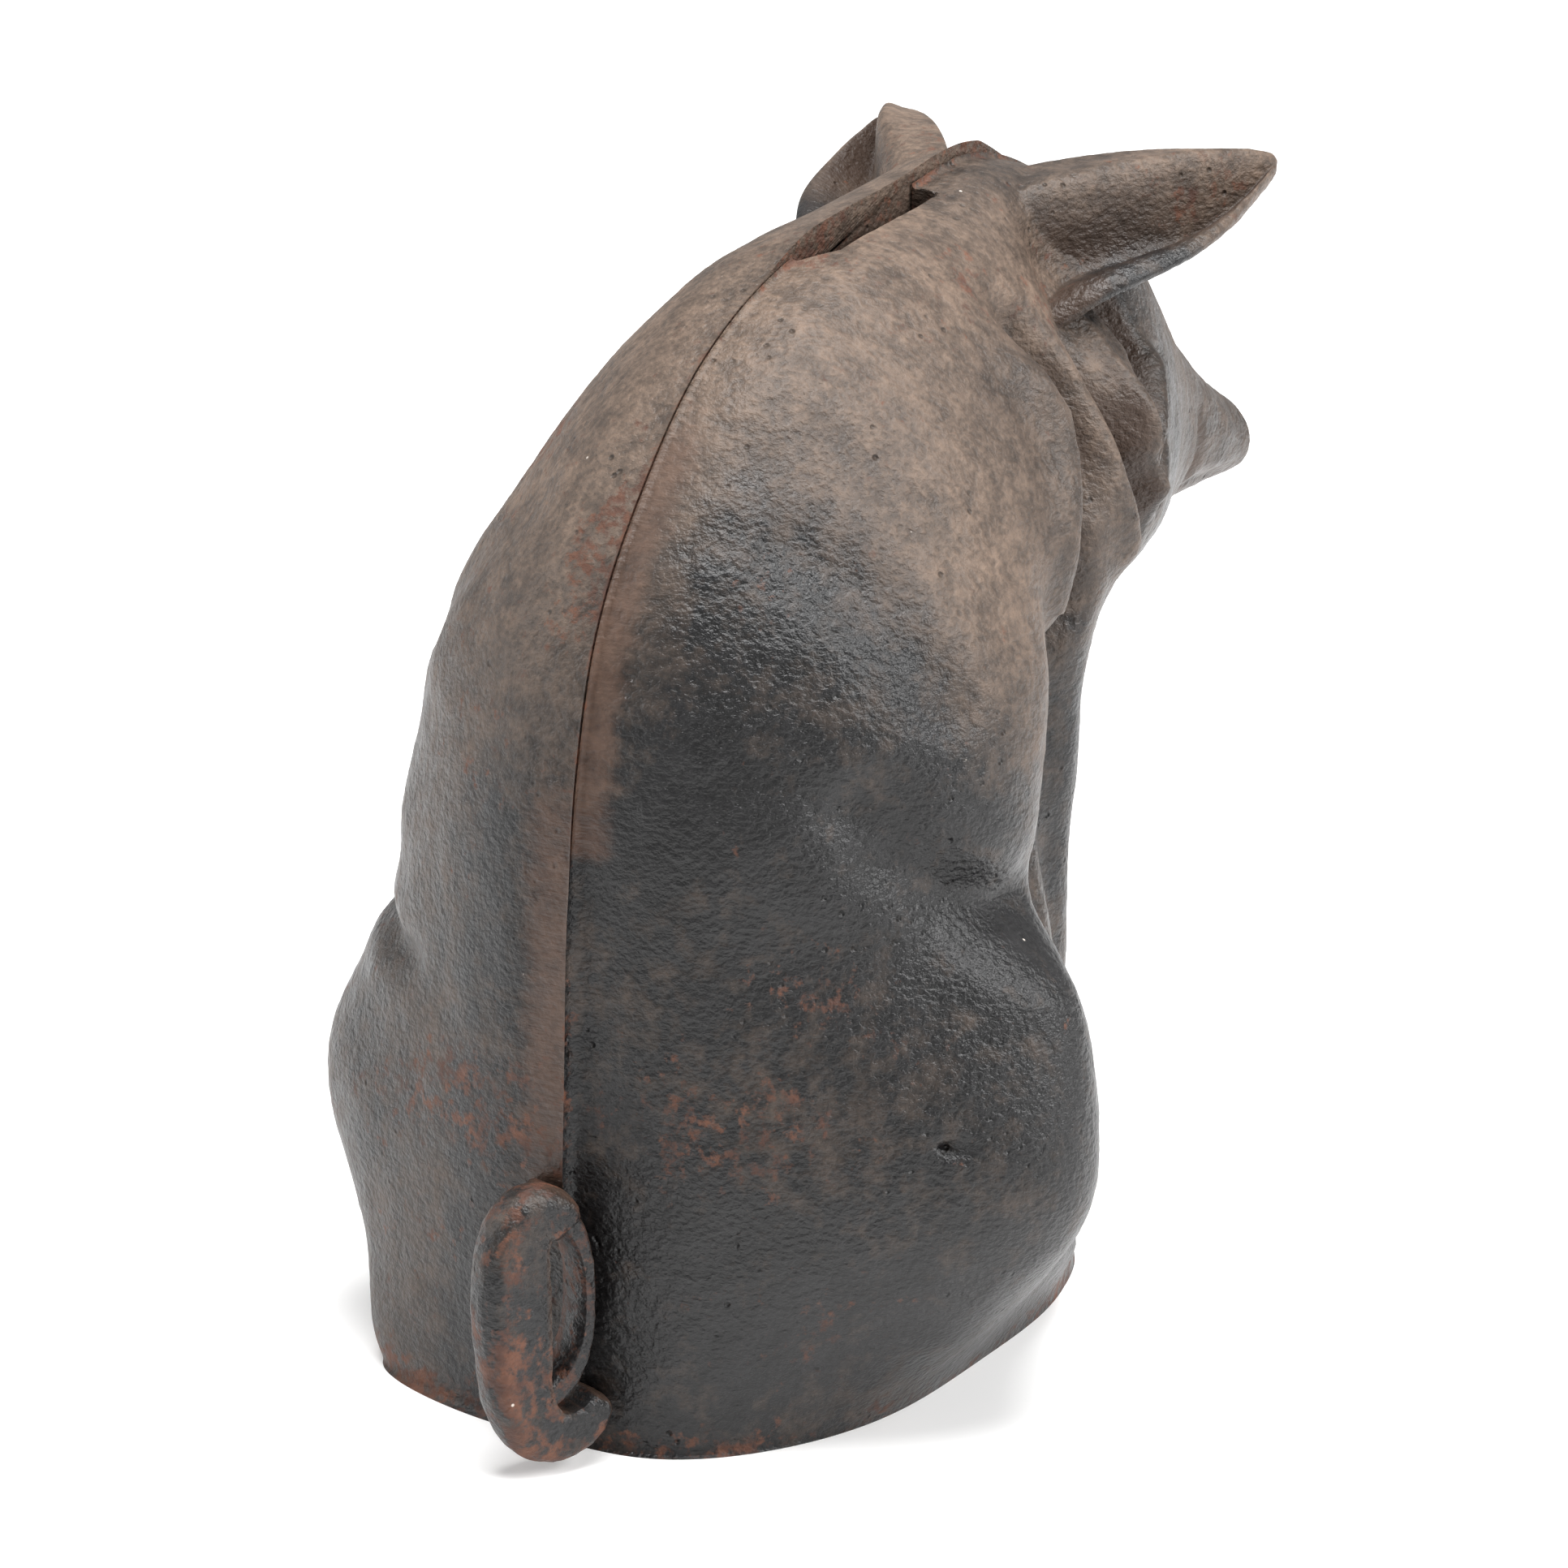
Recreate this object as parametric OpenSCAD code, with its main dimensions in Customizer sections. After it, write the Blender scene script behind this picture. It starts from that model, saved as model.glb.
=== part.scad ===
// Seated pig still bank: two hollow iron half castings held together by one long screw.
// The pig faces -Y and its left side is +X. The flat base stands on Z = 0.

/* [Overall] */
// Height of the nape above the flat base
nape_height = 186; // [160:1:225]
// Length from the base's back edge to the end of the snout
body_length = 210; // [175:1:252]
// Width across the haunches
haunch_width = 136; // [113:1:164]

/* [Casting] */
// Thickness of the cast wall
wall = 5; // [4:0.5:6.5]
// Gap between the two halves along the seam
seam_gap = 0.4; // [0.3:0.1:1]

/* [Coin slot] */
// Length of the notch that takes the coins
slot_length = 40; // [30:1:46]
// Depth of the notch into the edge of the right half
slot_depth = 4.8; // [4.2:0.1:7]
// Length of the slanted back end of the notch
slot_ramp = 9; // [2:1:12]
// Distance of the notch's front end behind the crest between the ears
slot_setback = 19; // [12:1:26]

/* [Screw] */
// Diameter of the screw's shank
screw_diameter = 4.8; // [4:0.1:6.4]
// Clearance all round the shank in its bores
screw_clearance = 0.1; // [0.05:0.01:0.2]
// Diameter of the round head
head_diameter = 9.4; // [8:0.1:12]
// Height of the round head
head_height = 3.4; // [2.5:0.1:4.5]
// Depth of the driver slot in the head
driver_slot_depth = 1.5; // [1:0.1:2]
// Width of the driver slot in the head
driver_slot_width = 1.3; // [1:0.1:1.8]
// Thickness of the iron around the bores
boss_wall = 4; // [3:0.5:6]
// Depth that the shank reaches into the right half
screw_grip = 24; // [18:1:32]

/* [Ears and tail] */
// Reach of each ear's tip to the side of the seam
ear_reach = 38; // [30:1:44]
// Thickness of the ear's edge
ear_thickness = 4.5; // [3.5:0.5:6]
// Height of the curl in the tail
curl_height = 31; // [26:1:36]
// Width of the bar that the tail is made of
tail_width = 10; // [8:0.5:12]

/* [Hidden] */

iron_colour = [0.26, 0.23, 0.21];
rust_colour = [0.36, 0.24, 0.17];
screw_colour = [0.42, 0.36, 0.31];

// Scale of the drawn outline in each direction
scale_y = body_length / 210;
scale_z = nape_height / 186;
scale_x = haunch_width / 136;

half_gap = seam_gap / 2;
// Each casting is drawn this far past its face on the seam and then trimmed flat
seam_trim = 0.6;
rows = 52;
columns = 26;
inner_rows = 26;
inner_columns = 14;

// Stations from the base to the snout, each with the back edge, the front edge and the half width
// between them: [back y, back z, front y, front z, half width]
stations = [
    [0, 0, -130, 0, 40],
    [2, 20, -125, 12, 44],
    [3, 42, -122, 32, 44],
    [2, 67, -121, 54, 43],
    [1, 92, -121, 76, 43],
    [-1, 112, -122, 92, 44],
    [-7, 133, -123, 102, 44],
    [-19, 151, -128, 107, 42],
    [-38, 169, -136, 107, 40],
    [-64, 180, -145, 105, 36],
    [-98, 184, -155, 104, 31],
    [-122, 186, -164, 104, 27],
    [-144, 179, -172, 106, 21],
    [-162, 165, -180, 109, 16],
    [-177, 149, -188, 111, 13],
    [-193, 136, -198, 111, 11],
    [-208, 127, -210, 111, 9]
];
last_station = len(stations) - 1;

// The origin is the middle of the whole length, from the tail to the snout
origin_shift = 92.8 * scale_y;

// Bumps and hollows on the sides: [y, z, size along, size across, tilt, height]
relief = [
    [-33, 48, 34, 30, 0, 28],
    [-17, 0, 21, 24, 0, 15],
    [-35, 110, 32, 40, 0, 12],
    [-26, 84, 30, 8, 0, -3],
    [-26, 158, 44, 15, -47, -9],
    [-92, 84, 12, 34, 12, -9],
    [-108, 40, 9, 44, 0, 3],
    [-84, 122, 20, 22, 20, 3],
    [-120, 5, 10, 9, 0, 5],
    [-126, 134, 12, 18, -10, 4]
];

// Value between four neighbours on a smooth curve
function blend4(a, b, c, d, f) =
    b + 0.5 * f * (c - a + f * (2 * a - 5 * b + 4 * c - d + f * (3 * (b - c) + d - a)));

function station_at(t) =
    let (
        k = min(floor(t), last_station - 1),
        before = stations[max(k - 1, 0)],
        after = stations[min(k + 2, last_station)]
    )
    blend4(before, stations[k], stations[k + 1], after, t - k);

function bump_at(bump, y, z) =
    let (
        dy = y - bump[0],
        dz = z - bump[1],
        along = (dy * cos(bump[4]) + dz * sin(bump[4])) / bump[2],
        across = (dz * cos(bump[4]) - dy * sin(bump[4])) / bump[3]
    )
    bump[5] * exp(-along * along - across * across);

function sum_list(list, k = 0) = k < len(list) ? list[k] + sum_list(list, k + 1) : 0;

function relief_at(y, z) = sum_list([for (bump = relief) bump_at(bump, y, z)]);

// Share of the full width at each place from the back edge (0) to the front edge (1). The back is
// broad and the front is narrow.
function roundness(u) = pow(max(sin(180 * u), 0), 0.75 + 0.65 * u);

// Point on the skin of the left half. A positive inset gives the inner skin of the wall.
function skin_point(t, u, inset = 0) =
    let (
        row = station_at(t),
        chord = [row[2] - row[0], row[3] - row[1]],
        chord_length = norm(chord),
        trim = inset / chord_length,
        share = trim + (1 - 2 * trim) * (1 - cos(180 * u)) / 2,
        y = row[0] + chord[0] * share,
        z = row[1] + chord[1] * share,
        width = max((row[4] + relief_at(y, z)) * scale_x - inset, 1) + seam_trim
    )
    [half_gap - seam_trim + roundness(u) * width, y * scale_y, z * scale_z];

// The cavity runs from the floor to the station behind the snout
cavity_start = 0.3;
cavity_end = last_station - 3;

function outer_point(i, j) = skin_point(last_station * i / rows, j / columns);

function inner_point(i, j) =
    let (p = skin_point(cavity_start + (cavity_end - cavity_start) * i / inner_rows, j / inner_columns, wall))
    [p[0], p[1], i == 0 ? wall : max(p[2], wall + 1)];

function quad(a, b, c, d) = [[a, b, c], [a, c, d]];

function grid_faces(n_rows, n_columns, start, flip) =
    [for (i = [0 : n_rows - 1], j = [0 : n_columns - 1])
        let (
            a = start + i * (n_columns + 1) + j,
            b = a + 1,
            d = a + n_columns + 1,
            c = d + 1
        )
        each flip ? quad(a, b, c, d) : quad(a, d, c, b)];

function reversed(list) = [for (k = [len(list) - 1 : -1 : 0]) list[k]];

// Skins, floor, snout end and the rim past the seam, as one closed shell
module half_shell() {
    outer = [for (i = [0 : rows], j = [0 : columns]) outer_point(i, j)];
    inner = [for (i = [0 : inner_rows], j = [0 : inner_columns]) inner_point(i, j)];
    n_outer = len(outer);
    o_row = columns + 1;
    i_row = inner_columns + 1;
    base = [for (j = [0 : columns]) j];
    snout = [for (j = [0 : columns]) rows * o_row + j];
    floor_face = [for (j = [0 : inner_columns]) n_outer + j];
    head_face = [for (j = [0 : inner_columns]) n_outer + inner_rows * i_row + j];
    back_rim = [for (k = [0 : inner_rows - 1])
        let (o = 2 * k * o_row, p = n_outer + k * i_row)
        each [[o, o + o_row, p], [o + o_row, p + i_row, p], [o + o_row, o + 2 * o_row, p + i_row]]];
    front_rim = [for (k = [0 : inner_rows - 1])
        let (o = 2 * k * o_row + columns, p = n_outer + k * i_row + inner_columns)
        each [[p, o + o_row, o], [p, p + i_row, o + o_row], [p + i_row, o + 2 * o_row, o + o_row]]];
    floor_rim = quad(0, n_outer, n_outer + inner_columns, columns);
    snout_rim = quad(snout[columns], head_face[inner_columns], head_face[0], snout[0]);
    polyhedron(
        points = concat(outer, inner),
        faces = concat(
            grid_faces(rows, columns, 0, true),
            grid_faces(inner_rows, inner_columns, n_outer, false),
            [reversed(base), snout, floor_face, reversed(head_face)],
            back_rim,
            front_rim,
            floor_rim,
            snout_rim
        )
    );
}

// Bar swept along a path, with its two ends closed or joined into a ring.
// Each point has its own half width across and half thickness.
module swept_bar(path, across, half_sizes, closed = false) {
    sides = 12;
    count = len(path);
    points = [for (k = [0 : count - 1], s = [0 : sides - 1])
        let (
            next = closed ? path[(k + 1) % count] : path[min(k + 1, count - 1)],
            previous = closed ? path[(k + count - 1) % count] : path[max(k - 1, 0)],
            way = next - previous,
            lift = cross(way, across) / norm(cross(way, across)),
            side = cross(lift, way) / norm(cross(lift, way)),
            angle = 360 * s / sides
        )
        path[k] + side * half_sizes[k][0] * cos(angle) + lift * half_sizes[k][1] * sin(angle)];
    walls = [for (k = [0 : count - (closed ? 1 : 2)], s = [0 : sides - 1])
        let (
            a = k * sides + s,
            b = k * sides + (s + 1) % sides,
            c = (k + 1) % count * sides + (s + 1) % sides,
            d = (k + 1) % count * sides + s
        )
        each quad(a, d, c, b)];
    ends = [
        [for (s = [0 : sides - 1]) s],
        [for (s = [sides - 1 : -1 : 0]) (count - 1) * sides + s]
    ];
    polyhedron(points = points, faces = closed ? walls : concat(walls, ends));
}

// Ear flap: cupped plates from the root on the head out to the tip
ear_sections = 8;
ear_sides = 16;
ear_top = [3, -112 * scale_y, 184 * scale_z];
ear_foot = [28, -131 * scale_y, 160 * scale_z];
ear_tip = [ear_reach, -158 * scale_y, 181 * scale_z];

function ear_point(i, j) =
    let (
        t = -0.04 + 1.04 * i / ear_sections,
        taper = pow(1 - t, 0.9),
        top = ear_tip + (ear_top - ear_tip) * taper + [0, 0, 2 + 16 * (1 - t)] * t,
        foot = ear_tip + (ear_foot - ear_tip) * taper - [0, 0, 2] * t,
        out = cross(ear_tip - ear_top, ear_foot - ear_top),
        normal = out / norm(out),
        angle = 360 * j / ear_sides,
        share = (1 - cos(angle)) / 2,
        bow = 4 * share * (1 - share) * (6 - 10 * t),
        swell = sin(angle) > 0 ? 1 + 2.4 * pow(1 - t, 2) : 1,
        thick = ear_thickness / 2 * sin(angle) * swell
    )
    top + (foot - top) * share + normal * (bow + thick);

module ear() {
    last = ear_sections * ear_sides;
    points = [for (i = [0 : ear_sections], j = [0 : ear_sides - 1]) ear_point(i, j)];
    walls = [for (i = [0 : ear_sections - 1], j = [0 : ear_sides - 1])
        let (a = i * ear_sides + j, b = i * ear_sides + (j + 1) % ear_sides)
        each quad(a, b, b + ear_sides, a + ear_sides)];
    // The two ends are closed with strips because they are curved
    root = [for (j = [0 : ear_sides / 2 - 1])
        let (a = j, b = j + 1, c = (ear_sides - j - 1) % ear_sides, d = (ear_sides - j) % ear_sides)
        each [if (j > 0) [a, d, c], if (b != c) [a, c, b]]];
    tip = [for (f = root) [f[0] + last, f[2] + last, f[1] + last]];
    polyhedron(points = points, faces = concat(walls, root, tip));
}

// Curled tail: an upright ring behind the seam with a hooked end below it
curl_turn = 28;
curl_centre = [1.5, 14.5, 12.5 + curl_height / 2];
curl_bar = 5.4;
curl_half = (curl_height - curl_bar) / 2;
curl_depth = 7.6;

function curl_point(angle) =
    curl_centre
    + [sin(curl_turn), cos(curl_turn), 0] * curl_depth * cos(angle)
    + [0, 0, 1] * curl_half * sin(angle);

module tail() {
    across = [cos(curl_turn), -sin(curl_turn), 0];
    half_bar = tail_width / 2;
    ring = [for (angle = [0 : 15 : 345]) curl_point(angle)];
    // The root starts inside the wall of the rump and runs into the top of the ring
    root = [[6, 0, curl_centre[2] + curl_half - 5], [5.5, 5, curl_centre[2] + curl_half - 2], curl_point(110)];
    hook = [curl_point(-10), curl_point(-38) + [0, 1, 0], [4, 19, 9], [1, 17.5, 5.5], [-5, 13.5, 5], [-9.5, 10, 8.5], [-11, 8.5, 13]];
    hook_sizes = [
        [half_bar - 1, 1.8],
        [half_bar - 0.5, 3],
        [half_bar, 4],
        [half_bar, 4],
        [half_bar - 0.6, 3.8],
        [half_bar - 1.2, 3.2],
        [half_bar - 2.2, 2.4]
    ];
    swept_bar(ring, across, [for (point = ring) [half_bar, curl_bar / 2]], closed = true);
    swept_bar(root, across, [for (point = root) [half_bar - 1, curl_bar / 2]]);
    swept_bar(hook, across, hook_sizes);
}

// The screw crosses the haunches at this place
screw_place = skin_point(2.35, 0.5);
screw_y = screw_place[1];
screw_z = screw_place[2];
shank_radius = screw_diameter / 2;
bore_radius = shank_radius + screw_clearance;
boss_radius = bore_radius + boss_wall;
seat_radius = head_diameter / 2 + 0.6;
seat_x = screw_place[0] - head_height - 1;
shank_end = half_gap + screw_grip;

// Rod along X from one place to another on the screw's axis
module screw_rod(x_from, x_to, radius) {
    translate([x_from, screw_y, screw_z])
        rotate([0, 90, 0])
            cylinder(h = x_to - x_from, r = radius, $fn = 48);
}

// Shell, ear and the post for the screw, all trimmed to one flat face on the seam
module casting(post_end) {
    intersection() {
        union() {
            half_shell();
            ear();
            screw_rod(half_gap - seam_trim, post_end, boss_radius);
        }
        translate([half_gap, -2 * body_length, 0])
            cube([haunch_width, 3 * body_length, 2 * nape_height]);
    }
}

// Moves a finished piece so that the origin is under the middle of the pig
module placed() {
    translate([0, origin_shift, 0])
        children();
}

module left_half() {
    placed() {
        color(iron_colour)
            difference() {
                casting(seat_x + 2);
                screw_rod(-1, seat_x + 1, bore_radius);
                screw_rod(seat_x, seat_x + 12, seat_radius);
            }
        color(rust_colour)
            tail();
    }
}

// Notch for the coins, cut down through the nape next to the seam, with a slanted back end
module coin_notch() {
    front_y = -122 * scale_y + slot_setback;
    translate([0, 0, nape_height - 22])
        linear_extrude(height = 40)
            polygon([
                [1, front_y],
                [-half_gap - slot_depth, front_y],
                [-half_gap - slot_depth, front_y + slot_length - slot_ramp],
                [1, front_y + slot_length]
            ]);
}

module right_half() {
    placed()
        color(iron_colour)
            difference() {
                mirror([1, 0, 0])
                    casting(screw_place[0] - 3);
                screw_rod(-shank_end - 1, 1, bore_radius);
                coin_notch();
            }
}

module body_screw() {
    placed()
        color(screw_colour) {
            screw_rod(-shank_end, seat_x, shank_radius);
            translate([seat_x, screw_y, screw_z])
                rotate([0, 90, 0])
                    difference() {
                        rotate_extrude($fn = 64)
                            polygon(concat(
                                [[0, 0]],
                                [for (a = [0 : 10 : 90]) [head_diameter / 2 * cos(a), head_height * sin(a)]]
                            ));
                        translate([-head_diameter, -driver_slot_width / 2, head_height - driver_slot_depth])
                            cube([2 * head_diameter, driver_slot_width, head_height]);
                    }
        }
}

left_half();
right_half();
body_screw();
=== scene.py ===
import math
import bpy
import numpy as np
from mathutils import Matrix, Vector, noise


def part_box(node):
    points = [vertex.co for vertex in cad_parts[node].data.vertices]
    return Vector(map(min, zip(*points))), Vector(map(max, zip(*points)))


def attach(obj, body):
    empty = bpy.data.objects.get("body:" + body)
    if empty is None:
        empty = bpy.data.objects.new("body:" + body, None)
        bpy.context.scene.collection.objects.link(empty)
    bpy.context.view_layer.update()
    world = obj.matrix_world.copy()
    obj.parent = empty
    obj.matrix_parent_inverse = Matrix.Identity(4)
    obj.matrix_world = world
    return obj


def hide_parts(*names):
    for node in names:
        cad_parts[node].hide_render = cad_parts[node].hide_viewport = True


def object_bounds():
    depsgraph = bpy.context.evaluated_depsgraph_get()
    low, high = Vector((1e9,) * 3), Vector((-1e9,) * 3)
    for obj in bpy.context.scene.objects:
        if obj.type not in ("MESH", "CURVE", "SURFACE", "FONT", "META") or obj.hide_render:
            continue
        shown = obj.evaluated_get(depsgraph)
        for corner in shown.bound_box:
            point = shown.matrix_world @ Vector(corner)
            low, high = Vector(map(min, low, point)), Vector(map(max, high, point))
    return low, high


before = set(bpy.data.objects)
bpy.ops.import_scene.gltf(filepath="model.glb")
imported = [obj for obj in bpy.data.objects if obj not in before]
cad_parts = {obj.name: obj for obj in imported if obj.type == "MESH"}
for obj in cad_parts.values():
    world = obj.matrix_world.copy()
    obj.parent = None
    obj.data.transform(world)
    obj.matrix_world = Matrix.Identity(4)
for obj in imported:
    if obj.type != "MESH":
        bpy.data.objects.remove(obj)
cadBox = [list(corner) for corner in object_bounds()]
print("frame loaded")

# The pig faces -Y and its left side is +X. Its outline is drawn in millimetres and then scaled to the frame.
drawn = dict(length=234.4, height=187.6, width=135.6, baseBack=92.8)
spanX = cadBox[1][0] - cadBox[0][0]
spanY = cadBox[1][1] - cadBox[0][1]
spanZ = cadBox[1][2] - cadBox[0][2]
unit = Vector((spanX / drawn["width"], spanY / drawn["length"], spanZ / drawn["height"]))
originShift = drawn["baseBack"] * unit.y


def toFrame(points):
    # drawn millimetres to metres in the frame
    out = np.asarray(points, float) * np.array(unit)
    out[..., 1] += originShift
    return out


# Outline from the base to the snout: back edge y, z, front edge y, z, half width
outline = [
    (0, 0, -130, 0, 41), (2, 20, -125, 12, 44), (3, 42, -122, 32, 44), (2, 67, -121, 54, 43),
    (1, 92, -121, 76, 43), (-1, 112, -122, 92, 44), (-7, 133, -123, 102, 44), (-19, 151, -128, 107, 42),
    (-38, 169, -136, 107, 40), (-64, 180, -145, 105, 36), (-98, 184, -155, 104, 31),
    (-122, 186, -164, 104, 27), (-144, 179, -172, 106, 21), (-162, 165, -180, 109, 16),
    (-177, 149, -188, 111, 13), (-193, 136, -198, 111, 11), (-208, 127, -210, 111, 9),
]
lastStation = len(outline) - 1

# Broad muscles and hollows on the sides: y, z, size along, size across, tilt in degrees, height
muscles = [
    (-33, 48, 34, 30, 0, 28), (-35, 110, 32, 40, 0, 12), (-26, 84, 30, 8, 0, -3),
    (-26, 158, 44, 15, -47, -9), (-108, 40, 9, 44, 0, 3), (-84, 122, 20, 22, 20, 3),
    (-120, 5, 10, 9, 0, 5), (-126, 134, 12, 18, -10, 4),
    (-76, 100, 12, 32, 12, -17), (-103, 88, 9, 30, 8, 3), (-117, 170, 10, 12, 0, -9),
]
# The two castings differ a little: the left haunch and its base bulge further out
ownMuscles = {
    1: [(-18, 24, 20, 28, 0, 13), (-6, 0, 16, 18, 0, 30), (-20, 86, 18, 14, 0, 7.5)],
    -1: [
        (-44, 70, 16, 14, 0, 4.5), (-40, 30, 24, 14, 0, 3), (-60, -2, 32, 14, 0, -4.5),
        (-22, 54, 1.5, 1.2, 0, -4),
    ],
}

# Creases in the skin: points (y, z) along the valley, half width, depth and how far its back edge swells
creases = [
    dict(path=[(-84, 176), (-93, 166), (-97, 156), (-95, 146), (-90, 136), (-90, 122), (-84, 108)],
         width=4.2, depth=7.5, swell=0.62),
    dict(path=[(-106, 168), (-108, 154), (-110, 142), (-114, 130), (-112, 120)],
         width=3.4, depth=6.0, swell=0.6),
    dict(path=[(-126, 168), (-128, 156), (-123, 147), (-118, 134)], width=3.0, depth=5.0, swell=0.6),
    dict(path=[(-141, 154), (-136, 146), (-128, 139), (-120, 130)], width=2.6, depth=4.0, swell=0.6),
    dict(path=[(-24, 151), (-28, 142), (-32, 126), (-35, 114)], width=7.0, depth=2.0, swell=0.4),
    dict(path=[(-18, 116), (-20, 107), (-24, 99), (-33, 92), (-46, 87), (-60, 86)],
         width=6.0, depth=4.2, swell=0.5, side=-1),
    dict(path=[(-8, 72), (-18, 71), (-32, 74), (-46, 78), (-60, 82)],
         width=3.2, depth=4.0, swell=0.2, side=1),
    dict(path=[(-116, 172), (-117, 162), (-117, 150), (-119, 138), (-120, 128)],
         width=2.4, depth=-3.2, swell=0),
    dict(path=[(-56, 86), (-68, 76), (-76, 62), (-79, 46), (-76, 32), (-82, 21), (-98, 17), (-106, 8)],
         width=3.8, depth=4.6, swell=0.5),
    dict(path=[(-84, 122), (-89, 104), (-91, 84), (-90, 62), (-91, 42), (-98, 24)],
         width=6.0, depth=5.0, swell=0.1),
    dict(path=[(-126, 16), (-114, 14), (-106, 15)], width=2.0, depth=2.4, swell=0.4),
    dict(path=[(-181, 134), (-184, 122), (-180, 112)], width=2.0, depth=1.0, swell=0.3),
    dict(path=[(-206, 113), (-190, 116), (-172, 113)], width=1.3, depth=1.6, swell=0.3),
]
# The swelling's place and width in widths of its crease, and how fast a crease fades in at its ends
creaseForm = dict(swellPlace=2.0, swellWidth=1.3, endFade=5)


def blend4(a, b, c, d, f):
    return b + 0.5 * f * (c - a + f * (2 * a - 5 * b + 4 * c - d + f * (3 * (b - c) + d - a)))


def stationAt(t):
    # smooth row of the outline at each t, from 0 at the base to lastStation at the snout
    rows = np.array(outline, float)
    k = np.minimum(np.floor(t).astype(int), lastStation - 1)
    before = rows[np.maximum(k - 1, 0)]
    after = rows[np.minimum(k + 2, lastStation)]
    return blend4(before, rows[k], rows[k + 1], after, (t - k)[..., None])


def muscleAt(y, z, side):
    total = np.zeros_like(y)
    for cy, cz, along, across, tilt, height in muscles + ownMuscles[side]:
        c = math.cos(math.radians(tilt))
        s = math.sin(math.radians(tilt))
        a = ((y - cy) * c + (z - cz) * s) / along
        b = ((z - cz) * c - (y - cy) * s) / across
        total += height * np.exp(-a * a - b * b)
    return total


def pathDistance(y, z, path):
    # in the side view: distance to a line of points, the place along it from 0 to 1 and the side of it
    best = np.full(y.shape, 1e9)
    place = np.zeros(y.shape)
    side = np.zeros(y.shape)
    pieces = len(path) - 1
    for n in range(pieces):
        (ay, az), (by, bz) = path[n], path[n + 1]
        dy, dz = by - ay, bz - az
        f = np.clip(((y - ay) * dy + (z - az) * dz) / (dy * dy + dz * dz), 0, 1)
        d = np.hypot(y - ay - f * dy, z - az - f * dz)
        nearer = d < best
        best = np.where(nearer, d, best)
        place = np.where(nearer, (n + f) / pieces, place)
        side = np.where(nearer, dy * (z - az) - dz * (y - ay), side)
    return best, place, side


def creaseAt(y, z, side):
    # each fold swells at its back edge (+Y) and drops into a valley in front of it
    total = np.zeros_like(y)
    for c in creases:
        if c.get("side", side) != side:
            continue
        d, place, signed = pathDistance(y, z, c["path"])
        steep = creaseForm["endFade"]
        fade = np.clip(steep * place, 0, 1) * np.clip(steep * (1 - place), 0, 1)
        fade = fade * fade * (3 - 2 * fade)
        total -= c["depth"] * fade * np.exp(-(d / c["width"]) ** 2)
        behind = d - creaseForm["swellPlace"] * c["width"]
        ridge = np.exp(-(behind / (creaseForm["swellWidth"] * c["width"])) ** 2) * (signed > 0)
        total += c["swell"] * c["depth"] * fade * ridge
    return total


# Sizes of the two hollow halves. The cast surface fades in over calmSeam from the seam and over calmBase
# from the base, and its grain fades in sooner than its swell by grainCalm times.
casting = dict(
    rows=430, columns=200, innerRows=150, innerColumns=70, discRows=16, innerDiscRows=8,
    wall=5.0, halfGap=0.2, lip=0.9, edgeRadius=1.4, backPower=0.75, powerGain=0.65,
    lipPlaces=(0, 0.002, 0.005, 0.010, 0.016, 0.024), lipSpare=0.4,
    cavityStart=0.3, cavityEnd=13.0, floorSpare=0.2,
    seeds={1: 3.7, -1: 11.3}, grainSeedStep=5, swellSize=16.0, swellHeight=0.35,
    grainSize=1.7, grainHeight=0.09, calmSeam=8, calmBase=6, grainCalm=3, lipFade=4, tuckFade=4,
    innerSeed=21.0, innerGrainSize=3.2, innerGrainHeight=0.25, innerCalmSeam=6,
)


def roundness(u):
    # share of the half width at each place from the back edge (0) to the front edge (1)
    return np.maximum(np.sin(np.pi * u), 0) ** (casting["backPower"] + casting["powerGain"] * u)


def skin(t, u, side, inset=0.0):
    # points on a half's skin, drawn as if on the left. A positive inset gives the inside of the wall.
    row = stationAt(t)
    chordY = row[..., 2] - row[..., 0]
    chordZ = row[..., 3] - row[..., 1]
    trim = inset / np.hypot(chordY, chordZ)
    share = trim + (1 - 2 * trim) * (1 - np.cos(np.pi * u)) / 2
    y = row[..., 0] + chordY * share
    z = row[..., 1] + chordZ * share
    width = row[..., 4] + muscleAt(y, z, side) + creaseAt(y, z, side) - inset
    x = casting["halfGap"] + roundness(u) * np.maximum(width, 1)
    return np.stack([x, y, z], -1)


def columnPlaces(count):
    # even places across the half, with a few more next to the seam for its rounded lips
    lips = np.array(casting["lipPlaces"])
    backPower = casting["backPower"]
    frontPower = backPower + casting["powerGain"]
    back = np.arcsin(lips ** (1 / backPower)) / np.pi
    front = np.arcsin(lips ** (1 / frontPower)) / np.pi
    even = np.linspace(0, 1, count)
    spare = casting["lipSpare"] / count
    keep = even[(even > back[-1] + spare) & (even < 1 - front[-1] - spare)]
    return np.concatenate([back, keep, 1 - front[::-1]])


def gridNormals(grid):
    a = np.gradient(grid, axis=0)
    b = np.gradient(grid, axis=1)
    n = np.cross(b, a)
    size = np.linalg.norm(n, axis=-1, keepdims=True)
    return n / np.maximum(size, 1e-9)


noiseForm = dict(softness=0.8, octaveStep=2.1)


def noiseAt(points, size, seed, octaves=2):
    # smooth noise at each point, with features of about this size
    flat = (np.asarray(points, float) / size).reshape(-1, 3) + seed
    softness, octaveStep = noiseForm["softness"], noiseForm["octaveStep"]
    values = [noise.fractal(Vector(p), softness, octaveStep, octaves) for p in flat]
    return np.array(values).reshape(np.asarray(points).shape[:-1])


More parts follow.
